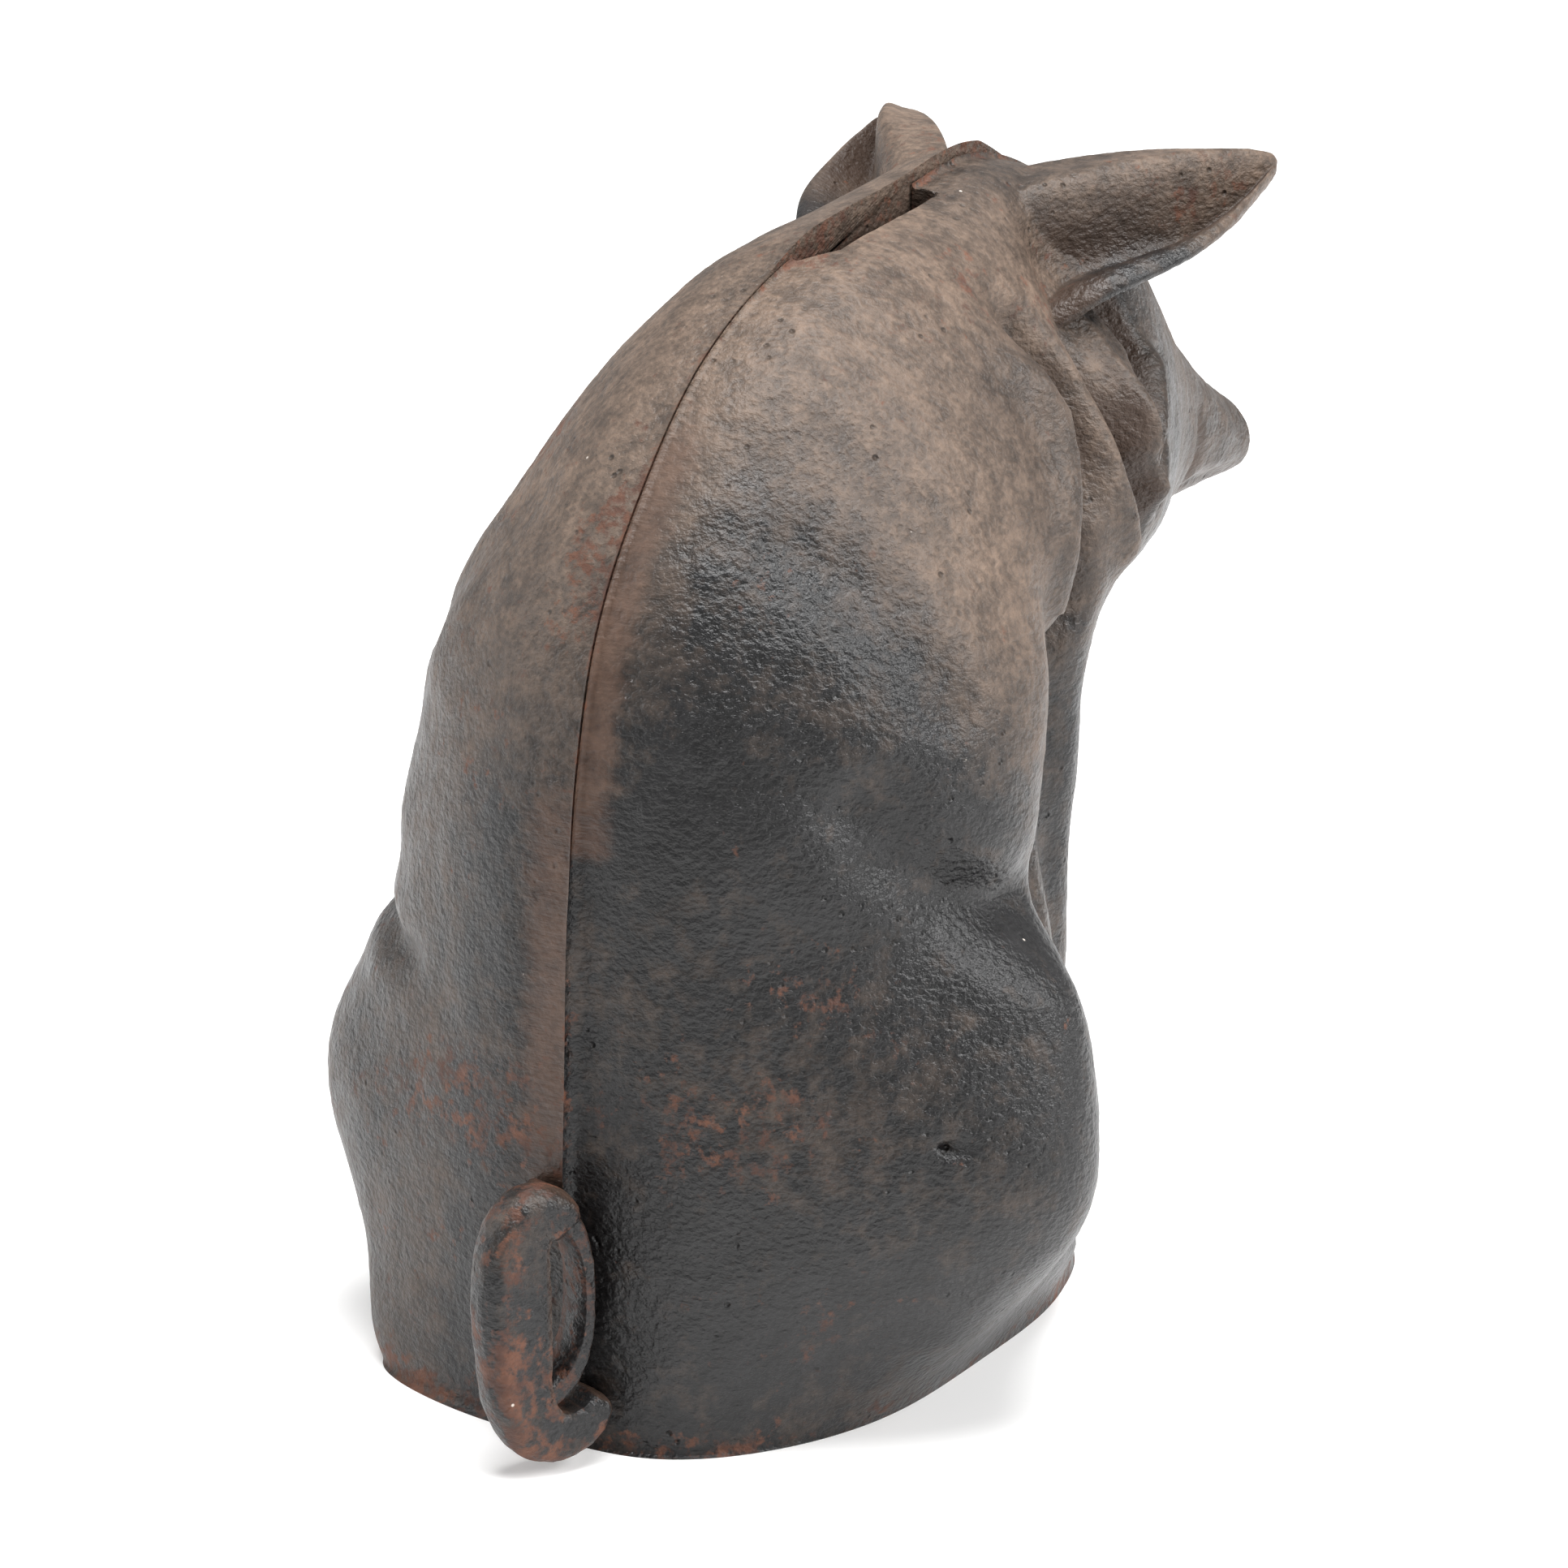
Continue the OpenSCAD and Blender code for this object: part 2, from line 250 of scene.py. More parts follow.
def gridFaces(ids, flip):
    # faces between the rows of a grid of vertex numbers, where neighbours may share a vertex
    a, b = ids[:-1, :-1].ravel(), ids[:-1, 1:].ravel()
    c, d = ids[1:, 1:].ravel(), ids[1:, :-1].ravel()
    quads = np.stack([a, d, c, b] if flip else [a, b, c, d], -1).tolist()
    faces = [tuple(dict.fromkeys(q)) for q in quads]
    return [f for f in faces if len(f) > 2]


def zipLoops(outer, inner, flip):
    # triangles between two runs of vertices that start and end side by side
    faces = []
    i, j = 0, 0
    while i < len(outer) - 1 or j < len(inner) - 1:
        nextOuter = (i + 1) / (len(outer) - 1)
        nextInner = (j + 1) / (len(inner) - 1)
        if nextOuter <= nextInner:
            face = (outer[i], inner[j], outer[i + 1])
            i += 1
        else:
            face = (outer[i], inner[j], inner[j + 1])
            j += 1
        faces.append(face[::-1] if flip else face)
    return [tuple(int(v) for v in f) for f in faces]


def disc(edge, gap, count):
    # rows that shrink from an edge to the seam line, without the edge itself
    rows = []
    for n in range(1, count + 1):
        s = math.cos(math.pi / 2 * n / count)
        row = edge.copy()
        row[:, 0] = gap + (edge[:, 0] - gap) * s
        rows.append(row)
    return np.array(rows)


def outerSkin(side):
    # outside of a half: the cast surface, rounded lips along the seam and a rounded edge round the base
    c = casting
    places = np.linspace(0, lastStation, c["rows"])
    tGrid, uGrid = np.meshgrid(places, columnPlaces(c["columns"]), indexing="ij")
    outer = skin(tGrid, uGrid, side)
    normal = gridNormals(outer)
    away = np.clip((outer[..., 0] - c["halfGap"]) / c["calmSeam"], 0, 1)
    low = np.clip(outer[..., 2] / c["calmBase"], 0, 1)
    seed = c["seeds"][side]
    swell = c["swellHeight"] * noiseAt(outer, c["swellSize"], seed)
    grain = c["grainHeight"] * noiseAt(outer, c["grainSize"], seed + c["grainSeedStep"], 3)
    surface = (swell * away + grain * np.clip(away * c["grainCalm"], 0, 1)) * low
    outer = outer + normal * surface[..., None]
    inPlane = normal.copy()
    inPlane[..., 0] = 0
    inPlane /= np.maximum(np.linalg.norm(inPlane, axis=-1, keepdims=True), 1e-9)
    lip = lipAt(outer[..., 1], outer[..., 2], side)
    reach = np.clip(outer[..., 0] - c["halfGap"], 0, lip)
    drop = lip - np.sqrt(np.maximum(lip ** 2 - (lip - reach) ** 2, 0))
    outer = outer - inPlane * (drop * np.clip(outer[..., 2] / c["lipFade"], 0, 1))[..., None]
    outer = outer + np.array([0, 0, 1.0]) * proudAt(outer, side)[..., None]
    outer[..., 2] = np.maximum(outer[..., 2], 0)
    rim = c["edgeRadius"]
    tuck = rim - np.sqrt(np.maximum(rim ** 2 - (rim - np.clip(outer[..., 2], 0, rim)) ** 2, 0))
    fade = np.clip((outer[..., 0] - c["halfGap"]) / c["tuckFade"], 0, 1)
    outer[..., 0] -= tuck * fade * np.maximum(normal[..., 0], 0)
    outer[..., 1] -= tuck * normal[..., 1]
    outer[0, :, 2] = 0
    return outer


def innerSkin(side):
    # the cavity's wall, one wall thickness inside the skin and flat on its floor
    c = casting
    places = np.linspace(c["cavityStart"], c["cavityEnd"], c["innerRows"])
    tGrid, uGrid = np.meshgrid(places, np.linspace(0, 1, c["innerColumns"]), indexing="ij")
    inner = skin(tGrid, uGrid, side, c["wall"])
    inner[..., 2] = np.maximum(inner[..., 2], c["wall"] + c["floorSpare"])
    inner[0, :, 2] = c["wall"]
    away = np.clip((inner[..., 0] - c["halfGap"]) / c["innerCalmSeam"], 0, 1)
    grain = c["innerGrainHeight"] * noiseAt(inner, c["innerGrainSize"], c["innerSeed"], 3)
    inner = inner + gridNormals(inner) * (grain * away)[..., None]
    inner[0, :, 2] = c["wall"]
    return inner


def halfShell(side):
    # one hollow half, closed along its rim. side is +1 for the left half and -1 for the right half.
    gap = casting["halfGap"]
    outer, inner = outerSkin(side), innerSkin(side)
    base = disc(outer[0], gap, casting["discRows"])
    snoutFace = disc(outer[-1], gap, casting["discRows"])
    snoutFace[..., 1] -= snoutRelief(snoutFace)
    floor = disc(inner[0], gap, casting["innerDiscRows"])
    head = disc(inner[-1], gap, casting["innerDiscRows"])
    blocks = [outer, base, snoutFace, inner, floor, head]
    points = np.concatenate([b.reshape(-1, 3) for b in blocks])
    ids = []
    start = 0
    for b in blocks:
        count = b.shape[0] * b.shape[1]
        ids.append(start + np.arange(count).reshape(b.shape[:2]))
        start += count
    outerIds, innerIds = ids[0], ids[3]
    baseIds = closedDisc(outerIds[0], ids[1])
    snoutIds = closedDisc(outerIds[-1], ids[2])
    floorIds = closedDisc(innerIds[0], ids[4])
    headIds = closedDisc(innerIds[-1], ids[5])
    faces = gridFaces(outerIds, True) + gridFaces(baseIds, False) + gridFaces(snoutIds, True)
    faces += gridFaces(innerIds, False) + gridFaces(floorIds, True) + gridFaces(headIds, False)
    # flat rim on the seam, between the outer and the inner edge
    faces += zipLoops(outerIds[:, 0], innerIds[:, 0], False)
    faces += zipLoops(outerIds[:, -1], innerIds[:, -1], True)
    faces += zipLoops(baseIds[-1], floorIds[-1], True)
    faces += zipLoops(snoutIds[-1], headIds[-1], False)
    return dropUnused(points, faces)


def closedDisc(edgeIds, rowIds):
    # the disc's rows after its edge, all ending at the edge's two end vertices
    rowIds = rowIds.copy()
    rowIds[:, 0] = edgeIds[0]
    rowIds[:, -1] = edgeIds[-1]
    return np.vstack([edgeIds[None], rowIds])


def dropUnused(points, faces):
    used = np.unique(np.concatenate([np.array(f) for f in faces]))
    new = np.full(len(points), -1)
    new[used] = np.arange(len(used))
    return points[used], [tuple(new[list(f)].tolist()) for f in faces]


# Worn lip: below this height and behind this y, blended over some millimetres, wider by side
wornLip = dict(below=96, blend=5, behind=-30, wider={1: 0.5, -1: 1.5})


def lipAt(y, z, side):
    # radius of the rounded lip: a wide worn chamfer low on the right half's back, small elsewhere
    low = 1 / (1 + np.exp((z - wornLip["below"]) / wornLip["blend"])) * (y > wornLip["behind"])
    return casting["lip"] + wornLip["wider"][side] * low


napeStep = dict(back=-56, backFade=14, front=-134, frontFade=8, above=150, height=2.0, reach=7)


def proudAt(points, side):
    # the left half stands a little proud of the right one along the nape
    if side < 0:
        return np.zeros(points.shape[:-1])
    s = napeStep
    y, z = points[..., 1], points[..., 2]
    nape = np.clip((s["back"] - y) / s["backFade"], 0, 1) * np.clip((y - s["front"]) / s["frontFade"], 0, 1)
    return s["height"] * (nape * (z > s["above"])) * np.exp(-(points[..., 0] / s["reach"]) ** 2)


snout = dict(
    middle=119, halfWidth=10, halfHeight=9, dome=1.6,
    nostrilX=4.2, nostrilZ=119.5, nostrilWidth=1.7, nostrilHeight=2.6, nostrilDepth=3.4,
)


def snoutRelief(points):
    # a domed disc with one nostril
    s = snout
    x, z = points[..., 0], points[..., 2]
    height = (z - s["middle"]) / s["halfHeight"]
    dome = s["dome"] * np.clip(1 - (x / s["halfWidth"]) ** 2 - height ** 2, 0, 1)
    across = (x - s["nostrilX"]) / s["nostrilWidth"]
    up = (z - s["nostrilZ"]) / s["nostrilHeight"]
    return dome - s["nostrilDepth"] * np.exp(-across ** 2 - up ** 2)


def meshInFrame(name, points, faces):
    mesh = bpy.data.meshes.new(name)
    mesh.from_pydata(np.asarray(points, float).tolist(), [], faces)
    piece = bpy.data.objects.new(name, mesh)
    bpy.context.scene.collection.objects.link(piece)
    return piece


def meshFrom(name, points, faces, mirror=False):
    # a piece from drawn millimetres, mirrored for the right half
    pts = toFrame(points)
    if mirror:
        pts[:, 0] *= -1
        faces = [f[::-1] for f in faces]
    return meshInFrame(name, pts, faces)


def applyModifiers(piece):
    graph = bpy.context.evaluated_depsgraph_get()
    made = bpy.data.meshes.new_from_object(piece.evaluated_get(graph))
    piece.modifiers.clear()
    piece.data = made


def cut(piece, tool, operation):
    step = piece.modifiers.new("cut", "BOOLEAN")
    step.operation = operation
    step.solver = "MANIFOLD"
    step.object = tool
    applyModifiers(piece)
    bpy.data.objects.remove(tool)


def smoothPath(points, count):
    pts = np.asarray(points, float)
    at = np.linspace(0, len(pts) - 1, count)
    k = np.minimum(at.astype(int), len(pts) - 2)
    before, after = pts[np.maximum(k - 1, 0)], pts[np.minimum(k + 2, len(pts) - 1)]
    return blend4(before, pts[k], pts[k + 1], after, (at - k)[:, None])


# Ear: a roof-like flap from the crest out to its tip, hooded on top with a deep pocket behind
ear = dict(
    rows=100, columns=130, thickness=4.2, rootSwell=1.2, rootFade=1.6, hollow=9.0, hood=3.6,
    front=[(-3, -112, 177), (4, -123, 183), (12, -136, 184.5), (22, -149, 184.5),
           (31, -159, 183), (37, -162, 181.5)],
    rear=[(18, -106, 158), (28, -114, 166), (34, -122, 170), (38.5, -133, 173),
          (39.3, -146, 177.2), (38, -160, 180.8)],
    hoodAt=0.30, hoodWidth=0.16, hollowAt=0.62, hollowWidth=0.17, hollowPower=1.4, fullChord=24,
    edgePower=0.7, tipReach=1.01, tipSteepness=14, tipPower=0.5,
    rippleHeight=0.5, rippleTurns=19, rippleSlant=3, rippleFrom=0.6,
    grainHeight=0.10, grainSize=2.2, seed=31.0,
)


def earGrid():
    e = ear
    t = np.linspace(0, 1, e["rows"])[:, None, None]
    front = smoothPath(e["front"], e["rows"])[:, None]
    rear = smoothPath(e["rear"], e["rows"])[:, None]
    angle = np.linspace(0, 2 * np.pi, e["columns"], endpoint=False)[None, :, None]
    share = (1 - np.cos(angle)) / 2
    chord = rear - front
    along = np.gradient(0.5 * (front + rear), axis=0)
    out = np.cross(along, chord)
    out /= np.linalg.norm(out, axis=-1, keepdims=True)
    size = np.clip(np.linalg.norm(chord, axis=-1, keepdims=True) / e["fullChord"], 0, 1)
    hood = e["hood"] * np.exp(-((share - e["hoodAt"]) / e["hoodWidth"]) ** 2) * size
    hollow = e["hollow"] * np.exp(-((share - e["hollowAt"]) / e["hollowWidth"]) ** 2)
    hollow = hollow * size ** e["hollowPower"]
    under = np.where(np.sin(angle) < 0, 1 + e["rootSwell"] * np.clip(1 - e["rootFade"] * t, 0, 1), 1)
    tip = np.clip((e["tipReach"] - t) * e["tipSteepness"], 0, 1) ** e["tipPower"]
    thick = e["thickness"] / 2 * np.sign(np.sin(angle)) * np.abs(np.sin(angle)) ** e["edgePower"]
    thick = thick * under * tip
    ripple = e["rippleHeight"] * np.sin(t * e["rippleTurns"] + share * e["rippleSlant"])
    ripple = ripple * np.clip(share - e["rippleFrom"], 0, 1)
    return front + chord * share + out * (hood - hollow + thick + ripple)


def earPoints():
    grid = earGrid()
    n, m = grid.shape[:2]
    normal = gridNormals(grid)
    grain = ear["grainHeight"] * noiseAt(grid, ear["grainSize"], ear["seed"], 3)
    grid = grid + normal * grain[..., None]
    ids = np.arange(n * m).reshape(n, m)
    faces = gridFaces(np.hstack([ids, ids[:, :1]]), True)
    half = m // 2
    ends = []
    for j in range(half):
        a, b = j, j + 1
        c, d = (m - j - 1) % m, (m - j) % m
        if j == 0:
            ends.append((a, b, c))
        elif b == c:
            ends.append((a, b, d))
        else:
            ends.append((a, b, c, d))
    last = (n - 1) * m
    faces += ends
    faces += [tuple(v + last for v in f[::-1]) for f in ends]
    return grid.reshape(-1, 3), faces


# Tail: a fat band with crisp outer corners. Places are (outward, up) in the tail's own upright plane.
tail = dict(
    turn=28.0, foot=(1.5, 14.5), sides=32, steps=110, halfWidth=4.9, rimShare=0.86,
    bluntSteps=5, bluntest=0.62, rootSteps=24, rootSize=(4.0, 3.2),
    grainHeight=0.16, grainSize=2.4, seed=41.0,
    band=[(-7, 41, 3.4), (-4.5, 43.6, 4.0), (-0.6, 43.4, 4.6), (2.0, 39, 5.3), (2.6, 31, 6.0),
          (2.3, 22, 5.8), (1.6, 13.5, 5.2), (-1.6, 7.4, 4.9), (-6.4, 6.0, 4.3), (-10.4, 8.0, 3.6),
          (-12.6, 11.4, 2.2)],
    rim=[(-3.5, 44.6, 2.6), (-7.4, 41, 1.9), (-9.6, 35, 1.3), (-10, 28, 1.2), (-9.2, 21, 1.4),
         (-6, 15.4, 1.9), (-1.5, 13, 2.4)],
    root=[(7, -3, 36), (5.8, 2, 40), (3.4, 6, 42.6), (0.4, 10, 43.6)],
    section=[(-0.88, 1.0), (0.9, 0.94), (1.0, 0.1), (0.86, -0.72), (0.3, -1), (-0.4, -1), (-0.92, -0.66)],
    sectionPoints=24, softenRounds=14,
)


def ridgedSection(sides):
    # closed outline of the band: a crisp outer corner on each side and a rounder inside
    corners = np.array(tail["section"])
    dense = []
    for n in range(len(corners)):
        a, b = corners[n], corners[(n + 1) % len(corners)]
        dense += [a + (b - a) * f for f in np.linspace(0, 1, tail["sectionPoints"], endpoint=False)]
    dense = np.array(dense)
    for _ in range(tail["softenRounds"]):
        dense = 0.5 * dense + 0.25 * (np.roll(dense, 1, 0) + np.roll(dense, -1, 0))
    steps = np.linalg.norm(np.diff(dense, axis=0, append=dense[:1]), axis=1)
    length = np.concatenate([[0], np.cumsum(steps)])
    at = np.linspace(0, length[-1], sides, endpoint=False)
    closed = np.vstack([dense, dense[:1]])
    return np.stack([np.interp(at, length, closed[:, k]) for k in (0, 1)], -1)


def sweep(path, across, sizes, section):
    # a section carried along a path, with its own half sizes at each place and closed ends
    path = np.asarray(path, float)
    across = np.asarray(across, float)
    count, sides = len(path), len(section)
    way = np.gradient(path, axis=0)
    lift = np.cross(way, across)
    lift /= np.linalg.norm(lift, axis=1, keepdims=True)
    side = np.cross(lift, way)
    side /= np.linalg.norm(side, axis=1, keepdims=True)
    sizes = np.asarray(sizes, float)
    grid = path[:, None] + side[:, None] * (section[None, :, 0, None] * sizes[:, None, 0, None])
    grid = grid + lift[:, None] * (section[None, :, 1, None] * sizes[:, None, 1, None])
    wrapped = np.concatenate([grid, grid[:, :1]], 1)
    normal = gridNormals(wrapped)[:, :-1]
    grain = tail["grainHeight"] * noiseAt(grid, tail["grainSize"], tail["seed"], 3)
    grid = grid + normal * grain[..., None]
    faces = []
    for i in range(count - 1):
        for j in range(sides):
            a, b = i * sides + j, i * sides + (j + 1) % sides
            c, d = (i + 1) * sides + (j + 1) % sides, (i + 1) * sides + j
            faces.append((a, d, c, b))
    faces.append(tuple(range(sides)))
    faces.append(tuple((count - 1) * sides + j for j in range(sides - 1, -1, -1)))
    return grid.reshape(-1, 3), faces


def buildTail():
    t = tail
    turn = math.radians(t["turn"])
    outward = np.array([math.sin(turn), math.cos(turn), 0])
    across = np.array([math.cos(turn), -math.sin(turn), 0])
    section = ridgedSection(t["sides"])
    parts = []
    for name, width in (("band", t["halfWidth"]), ("rim", t["halfWidth"] * t["rimShare"])):
        flat = smoothPath(t[name], t["steps"])
        path = np.array([*t["foot"], 0]) + outward * flat[:, :1] + np.array([0, 0, 1]) * flat[:, 1:2]
        ends = np.minimum(np.linspace(0, 1, t["steps"]), np.linspace(1, 0, t["steps"]))
        ends = ends * t["steps"] / t["bluntSteps"]
        blunt = t["bluntest"] + (1 - t["bluntest"]) * np.clip(ends, 0, 1) ** 0.5
        sizes = np.stack([width * blunt, flat[:, 2] * blunt], -1)
        parts.append(sweep(path, across, sizes, section))
    root = smoothPath(t["root"], t["rootSteps"])
    parts.append(sweep(root, across, [t["rootSize"]] * t["rootSteps"], section))
    made = None
    for n, (points, faces) in enumerate(parts):
        piece = meshFrom(f"tailPart{n}", points, faces)
        if made is None:
            made = piece
        else:
            cut(made, piece, "UNION")
    return made


def rodAlong(xFrom, xTo, radius, y, z, sides=64):
    # cylinder along X
    angle = np.linspace(0, 2 * np.pi, sides, endpoint=False)
    ring = np.stack([np.cos(angle) * radius + y, np.sin(angle) * radius + z], -1)
    points = [(x, a, b) for x in (xFrom, xTo) for a, b in ring.tolist()]
    faces = [(j, (j + 1) % sides, sides + (j + 1) % sides, sides + j) for j in range(sides)]
    faces.append(tuple(range(sides - 1, -1, -1)))
    faces.append(tuple(range(sides, 2 * sides)))
    return points, faces


# Coin slot: a notch in the right half's edge, square at the front and slanted at the back
slotCut = dict(front=-103.0, length=40.0, depth=5.0, spare=1, ramp=9.0, low=160.0, high=205.0)


def notchTool():
    s = slotCut
    front, back, deep = s["front"], s["front"] + s["length"], -s["depth"]
    plan = [(s["spare"], front), (deep, front), (deep, back - s["ramp"]), (s["spare"], back)]
    points = [(x, y, z) for z in (s["low"], s["high"]) for x, y in plan]
    faces = [(0, 1, 2, 3), (7, 6, 5, 4), (0, 4, 5, 1), (1, 5, 6, 2), (2, 6, 7, 3), (3, 7, 4, 0)]
    return meshFrom("notchTool", points, faces)


# Screw through the haunches, measured from the frame
screwLow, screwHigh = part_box("body_screw")
screw = dict(
    y=(screwLow.y + screwHigh.y) / 2, z=(screwLow.z + screwHigh.z) / 2,
    end=screwLow.x, top=screwHigh.x, headRadius=(screwHigh.y - screwLow.y) / 2, headHeight=0.0034,
    shank=0.0024, clearance=0.0001, boss=0.0065, slotWidth=0.0013, slotDepth=0.0015, pitch=0.0008,
    threadDepth=0.00035, threadLength=0.022, postCover=0.0035, seatRadius=0.0053, seatReach=0.012,
    sides=40, ringsPerTurn=8, tipDrop=0.0007, tipLength=0.0012, domeRings=24, spare=0.001, slotReach=1.2,
)


def screwRod(xFrom, xTo, radius):
    # plain rod on the screw's axis
    return meshInFrame("rod", *rodAlong(xFrom, xTo, radius, screw["y"], screw["z"]))


# Centres of the soft joints round the ears' roots with their radii, the share of each round and the rounds
earJoint = dict(centres=[((20, -117, 169), 27), ((27, -118, 160), 12)], share=0.6, rounds=80)
seamMargin = 0.0012


def smoothNear(piece, centres, share, rounds):
    # softens the crease where two shapes were joined, but not the seam's edge
    mesh = piece.data
    co = np.zeros(len(mesh.vertices) * 3)
    mesh.vertices.foreach_get("co", co)
    co = co.reshape(-1, 3)
    edges = np.zeros(len(mesh.edges) * 2, int)
    mesh.edges.foreach_get("vertices", edges)
    edges = edges.reshape(-1, 2)
    weight = np.zeros(len(co))
    for centre, size in centres:
        away = np.linalg.norm(co - toFrame(centre), axis=1) / (size / 1000)
        weight = np.maximum(weight, np.exp(-away ** 4))
    weight *= (np.abs(co[:, 0]) > seamMargin) * share
    degree = np.bincount(edges.ravel(), minlength=len(co))
    for _ in range(rounds):
        total = np.zeros_like(co)
        for k in range(3):
            total[:, k] = np.bincount(edges[:, 0], co[edges[:, 1], k], len(co))
            total[:, k] += np.bincount(edges[:, 1], co[edges[:, 0], k], len(co))
        co += weight[:, None] * (total / np.maximum(degree, 1)[:, None] - co)
    mesh.vertices.foreach_set("co", co.ravel())
    mesh.update()


# A block past the seam on the other side, in drawn millimetres, which trims the ear's root
otherSide = dict(x=(-60, casting["halfGap"]), y=(-260, 40), z=(-10, 260))
boxFaces = [(0, 1, 3, 2), (4, 6, 7, 5), (0, 4, 5, 1), (2, 3, 7, 6), (0, 2, 6, 4), (1, 5, 7, 3)]


def boxCorners(xs, ys, zs):
    return [(x, y, z) for x in xs for y in ys for z in zs]


def buildHalf(name, side):
    points, faces = halfShell(side)
    piece = meshFrom(name, points, faces, mirror=side < 0)
    earPiece = meshFrom("ear", *earPoints(), mirror=side < 0)
    block = boxCorners(otherSide["x"], otherSide["y"], otherSide["z"])
    cut(earPiece, meshFrom("block", block, boxFaces, mirror=side < 0), "DIFFERENCE")
    cut(piece, earPiece, "UNION")
    gap = casting["halfGap"] / 1000
    postEnd = screw["top"] - screw["postCover"]
    if side > 0:
        cut(piece, screwRod(gap, postEnd, screw["boss"]), "UNION")
    else:
        cut(piece, screwRod(-postEnd, -gap, screw["boss"]), "UNION")
    return piece


leftCasting = buildHalf("leftCasting", 1)
print("left shell built", len(leftCasting.data.vertices))
rightCasting = buildHalf("rightCasting", -1)
print("right shell built", len(rightCasting.data.vertices))
cut(leftCasting, buildTail(), "UNION")
cut(rightCasting, notchTool(), "DIFFERENCE")
boreRadius = screw["shank"] + screw["clearance"]
seatX = screw["top"] - screw["headHeight"]
spare = screw["spare"]
cut(leftCasting, screwRod(-spare, seatX + spare, boreRadius), "DIFFERENCE")
cut(leftCasting, screwRod(seatX, seatX + screw["seatReach"], screw["seatRadius"]), "DIFFERENCE")
cut(rightCasting, screwRod(screw["end"] - spare, spare, boreRadius), "DIFFERENCE")
smoothNear(leftCasting, **earJoint)
smoothNear(rightCasting, **earJoint)
print("castings joined and cut", len(leftCasting.data.vertices), len(rightCasting.data.vertices))


def shadeSmooth(piece, sharp=38):
    mesh = piece.data
    mesh.polygons.foreach_set("use_smooth", [True] * len(mesh.polygons))
    mesh.set_sharp_from_angle(angle=math.radians(sharp))


for piece in (leftCasting, rightCasting):
    shadeSmooth(piece)

# Camera behind the pig and to its right
view = dict(lens=157.8, sensor=36, clipEnd=10, at=(-0.5493, 0.9444, 0.4399), way=(0.4898, -0.8152, -0.3090))
camera = bpy.data.cameras.new("camera")
camera.lens = view["lens"]
camera.sensor_width = view["sensor"]
camera.clip_end = view["clipEnd"]
cameraObject = bpy.data.objects.new("camera", camera)
cameraObject.location = view["at"]
cameraObject.rotation_euler = Vector(view["way"]).to_track_quat("-Z", "Y").to_euler()
bpy.context.scene.collection.objects.link(cameraObject)
bpy.context.scene.camera = cameraObject


def screwRing(x, radii):
    # a ring of points round the screw's axis
    angles = [2 * math.pi * k / len(radii) for k in range(len(radii))]
    return [(x, screw["y"] + r * math.cos(a), screw["z"] + r * math.sin(a)) for r, a in zip(radii, angles)]


# Body screw: a threaded shank and a round slotted head, sunk in the left haunch
def buildScrew():
    s = screw
    sides, pitch = s["sides"], s["pitch"]
    seat = s["top"] - s["headHeight"]
    count = int((seat - s["end"]) / pitch * s["ringsPerTurn"])
    rows = []
    for n in range(count + 1):
        x = s["end"] + (seat - s["end"]) * n / count
        tip = s["tipDrop"] * max(0, 1 - (x - s["end"]) / s["tipLength"])
        radii = []
        for k in range(sides):
            turn = ((x - s["end"]) / pitch - k / sides) % 1
            groove = s["threadDepth"] * (1 - abs(2 * turn - 1)) if x < s["end"] + s["threadLength"] else 0
            radii.append(s["shank"] - groove - tip)
        rows.append(screwRing(x, radii))
    for n in range(s["domeRings"]):
        a = math.pi / 2 * n / s["domeRings"]
        rows.append(screwRing(seat + s["headHeight"] * math.sin(a), [s["headRadius"] * math.cos(a)] * sides))
    points = [p for row in rows for p in row]
    faces = []
    for i in range(len(rows) - 1):
        for j in range(sides):
            a, b = i * sides + j, i * sides + (j + 1) % sides
            faces.append((a, b, b + sides, a + sides))
    faces.append(tuple(range(sides - 1, -1, -1)))
    faces.append(tuple((len(rows) - 1) * sides + j for j in range(sides)))
    piece = meshInFrame("bodyScrew", points, faces)
    halfSlot, reach = s["slotWidth"] / 2, s["headRadius"] * s["slotReach"]
    slotX = (s["top"] - s["slotDepth"], s["top"] + s["spare"])
    slotY = (s["y"] - reach, s["y"] + reach)
    slotZ = (s["z"] - halfSlot, s["z"] + halfSlot)
    cut(piece, meshInFrame("slot", boxCorners(slotX, slotY, slotZ), boxFaces), "DIFFERENCE")
    return piece


bodyScrew = buildScrew()
shadeSmooth(bodyScrew, 30)
print("screw built")


def smoothStep(value, low, high):
    f = np.clip((value - low) / (high - low), 0, 1)
    return f * f * (3 - 2 * f)


def blob(y, z, cy, cz, ry, rz):
    return np.exp(-((y - cy) / ry) ** 2 - ((z - cz) / rz) ** 2)


def drawnCoordinates(piece):
    mesh = piece.data
    co = np.zeros(len(mesh.vertices) * 3)
    mesh.vertices.foreach_get("co", co)
    co = co.reshape(-1, 3)
    co[:, 1] -= originShift
    return co / np.array(unit)


def storeMask(piece, name, values):
    layer = piece.data.attributes.new(name, "FLOAT", "POINT")
    layer.data.foreach_set("value", np.clip(values, 0, 1).astype(np.float32))


